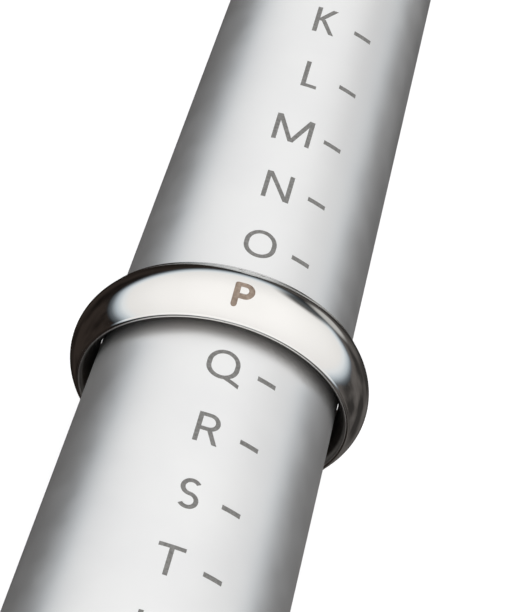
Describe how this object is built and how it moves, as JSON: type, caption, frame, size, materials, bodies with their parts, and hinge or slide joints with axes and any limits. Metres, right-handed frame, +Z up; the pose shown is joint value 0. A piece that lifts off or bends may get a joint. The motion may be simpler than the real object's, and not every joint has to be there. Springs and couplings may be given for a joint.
{
  "type": "ring mandrel",
  "caption": "Tapered hollow metal ring gauge stick marked with letter sizes on top, with an octagonal handle and a seated gauge ring that slides off the tip.",
  "frame": {"origin": "middle of the butt face, on the axis of the stick", "axes": "+Y along the stick from the butt to the tip, +Z up through the size letters, with the stick lying on the lower flat of its grip"},
  "size_m": [0.0226, 0.282, 0.0226],
  "materials": {
    "shaft_aluminium": "fine bead-blasted satin",
    "laser_mark": "matt grey laser marking",
    "plug_nylon": "moulded nylon",
    "plug_aluminium": "turned",
    "fitting_steel": "ground",
    "collar_steel": "turned, fine brushed",
    "grip_black": "fine moulded texture",
    "ring_polished": "mirror polished",
    "ring_engraving": "burnt brown engraving"
  },
  "bodies": {
    "root": {"gauge_shaft": "shaft_aluminium", "size_letters": "laser_mark", "size_ticks": "laser_mark", "tip_plug": "plug_nylon", "base_plug": "plug_aluminium", "tang": "fitting_steel", "tang_pin": "fitting_steel", "collar": "collar_steel", "grip": "grip_black", "butt_cap": "collar_steel"},
    "ring": {"gauge_ring": "ring_polished", "ring_letter": "ring_engraving"}
  },
  "joints": [
    {"name": "ring_slide", "type": "slide", "parent": "root", "child": "ring", "axis": [0, 1, 0], "range_m": [0, 0.11]}
  ]
}
